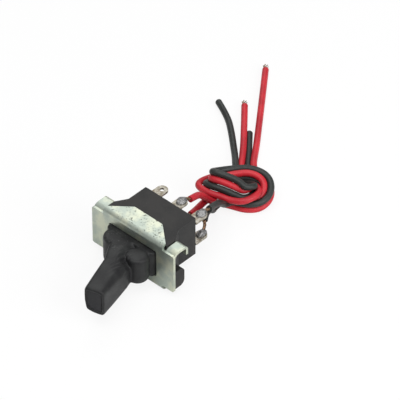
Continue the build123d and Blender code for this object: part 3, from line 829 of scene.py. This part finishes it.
# %% Lead covers
def cover(name, dark, light):
    """Extruded PVC between two close colours."""
    finish = Finish(name, Specular_IOR_Level=0.4)
    drift = finish.noise(0.008, detail=3.0)
    scuffs = finish.noise(0.0009, detail=5.0, roughness=0.7)
    finish.set(
        colour=finish.blend(finish.step(drift, 0.3, 0.7), dark, light),
        roughness=0.36 + 0.22 * scuffs,
    )
    finish.bump(scuffs + drift, 0.00003)
    return finish


def lead_pieces(colour, *kinds):
    """The names of the leads' pieces of one colour, for each kind of piece."""
    of_colour = [name for name in LEADS if name.startswith(colour)]
    return [name.replace("lead", kind) for name in of_colour for kind in kinds]


red_cover = cover("red_cover", (0.40, 0.010, 0.020), (0.55, 0.022, 0.034))
black_cover = cover("black_cover", (0.012, 0.014, 0.013), (0.024, 0.028, 0.026))
wear(red_cover, *lead_pieces("red", "insulated_lead", "end"))
wear(black_cover, *lead_pieces("black", "insulated_lead", "end"))

# %% [markdown]
# ## Small metals
# Copper strands, frozen solder, tinned brass lugs, silver contacts, bronze rockers and the drawn
# steel of springs and pin differ in colour and in how dull they are, so one function makes them
# all.


# %% Metals
def metal(name, dark, light, roughness, size, relief=0.00003):
    """A metal that drifts between two colours in patches of the size given."""
    finish = Finish(name, Metallic=1.0)
    patch = finish.noise(size, detail=4.0, roughness=0.6)
    grain = finish.noise(size / 6, detail=3.0)
    finish.set(
        colour=finish.blend(finish.step(patch, 0.35, 0.65), dark, light),
        roughness=roughness + 0.25 * patch + 0.1 * grain,
    )
    finish.bump(patch + 0.3 * grain, relief)
    return finish


copper = metal("copper", (0.10, 0.06, 0.04), (0.38, 0.24, 0.15), 0.32, 0.0006)
solder = metal("solder", (0.16, 0.16, 0.16), (0.38, 0.38, 0.38), 0.42, 0.0006, 0.00012)
brass = metal("tinned_brass", (0.22, 0.19, 0.14), (0.52, 0.50, 0.44), 0.32, 0.0012)
silver = metal("silver", (0.55, 0.54, 0.50), (0.78, 0.77, 0.74), 0.25, 0.0010)
bronze = metal("bronze", (0.48, 0.30, 0.14), (0.62, 0.42, 0.20), 0.30, 0.0020)
drawn = metal("drawn_steel", (0.42, 0.42, 0.42), (0.58, 0.58, 0.58), 0.25, 0.0010)
wear(copper, *lead_pieces("red", "strands", "frayed_strands"), *lead_pieces("black", "strands"))
wear(solder, *(f"bead_{column}_{pole}" for column, pole in BEADS))
wear(brass, *(node for node in frame["nodes"] if node.startswith("terminal")))
wear(silver, *(node for node in frame["nodes"] if "contacts" in node))
wear(bronze, *(node for node in frame["nodes"] if node.startswith("rocker")))
wear(drawn, "coil_upper", "coil_lower", "pivot_pin")

# %% [markdown]
# ## Board and plungers
# The base is a pressed board, brown and slightly mottled, and the plungers are natural nylon.

# %% Board and nylon
board = moulding("pressed_board", (0.060, 0.034, 0.020), (0.090, 0.052, 0.030), 0.5, 0.00004)
nylon = moulding("nylon", (0.60, 0.57, 0.48), (0.70, 0.67, 0.58), 0.35)
wear(board, "base")
wear(nylon, "plunger_upper", "plunger_lower")

# %% [markdown]
# ## Floor and light
# The switch lies on a plain white floor. Seen directly, the floor is mostly its own white, with
# a part of its shading kept so that the contact shadows stay. In reflections it is plain paper.
# The sky is white to the camera, dim as a light, and a little brighter in reflections. The light
# is a soft box overhead, one to the right and a weak one behind.


# %% Floor
def floor_surface(half):
    """A square of floor at the height that the switch rests on."""
    corners = [(-half, -half, FLOOR), (half, -half, FLOOR), (half, half, FLOOR), (-half, half, FLOOR)]
    mesh = bpy.data.meshes.new("floor")
    mesh.from_pydata(corners, [], [(0, 1, 2, 3)])
    made = bpy.data.objects.new("floor", mesh)
    bpy.context.scene.collection.objects.link(made)
    return made


FLOOR_HALF = 4.0
PAPER_GREY = 0.86
OWN_WHITE = 0.86  # the share of plain white in a floor that is seen directly
floor = floor_surface(FLOOR_HALF)
paper = Finish("floor_paper", Roughness=0.9, Specular_IOR_Level=0.0)
paper.set(colour=(PAPER_GREY,) * 3)
seen = paper.node("LightPath", out="Is Camera Ray")
clear = paper.node("LightPath", out="Is Transmission Ray")
white = paper.node("Emission", {}, {"Color": (1, 1, 1), "Strength": 1.0})
lit = Value(paper, paper.shader.outputs[0])
shade = paper.node("MixShader", {}, {0: seen * OWN_WHITE + clear * OWN_WHITE, 1: lit, 2: white})
paper.tree.links.new(shade.socket, paper.tree.nodes["Material Output"].inputs["Surface"])
floor.data.materials.append(paper.material)
print("floor made at", round(FLOOR, 4))

# %% World and lamps
SKY = 0.22
SKY_REFLECTED = 0.2
world = bpy.data.worlds.new("studio")
world.use_nodes = True
bpy.context.scene.world = world
tree = world.node_tree
path = tree.nodes.new("ShaderNodeLightPath")
background = tree.nodes["Background"]
background.inputs["Color"].default_value = (1, 1, 1, 1)
background.inputs["Strength"].default_value = SKY
shown = tree.nodes.new("ShaderNodeBackground")
shown.inputs["Color"].default_value = (1, 1, 1, 1)
shown.inputs["Strength"].default_value = 1.0
direct = tree.nodes.new("ShaderNodeMath")
direct.operation = "MULTIPLY_ADD"
tree.links.new(path.outputs["Is Glossy Ray"], direct.inputs[0])
direct.inputs[1].default_value = SKY_REFLECTED
tree.links.new(path.outputs["Is Camera Ray"], direct.inputs[2])
choose = tree.nodes.new("ShaderNodeMixShader")
tree.links.new(direct.outputs[0], choose.inputs[0])
tree.links.new(background.outputs[0], choose.inputs[1])
tree.links.new(shown.outputs[0], choose.inputs[2])
tree.links.new(choose.outputs[0], tree.nodes["World Output"].inputs["Surface"])


def soft_box(name, azimuth, elevation, distance, size, power):
    """A square area lamp that looks at the switch from a compass direction and height."""
    azimuth, elevation = math.radians(azimuth), math.radians(elevation)
    away = np.array([
        math.sin(azimuth) * math.cos(elevation),
        -math.cos(azimuth) * math.cos(elevation),
        math.sin(elevation),
    ])
    data = bpy.data.lights.new(name, "AREA")
    data.size = size
    data.energy = power
    lamp = bpy.data.objects.new(name, data)
    lamp.location = VIEW_CENTRE + away * distance
    lamp.rotation_euler = (math.pi / 2 - elevation, 0, azimuth)
    bpy.context.scene.collection.objects.link(lamp)


soft_box("box_overhead", azimuth=20, elevation=75, distance=1.0, size=0.9, power=7.0)
soft_box("box_right", azimuth=95, elevation=30, distance=1.0, size=0.7, power=7.0)
soft_box("box_back", azimuth=225, elevation=44, distance=1.1, size=0.6, power=2.4)
bpy.context.scene.view_settings.view_transform = "Standard"
print("lamps placed")
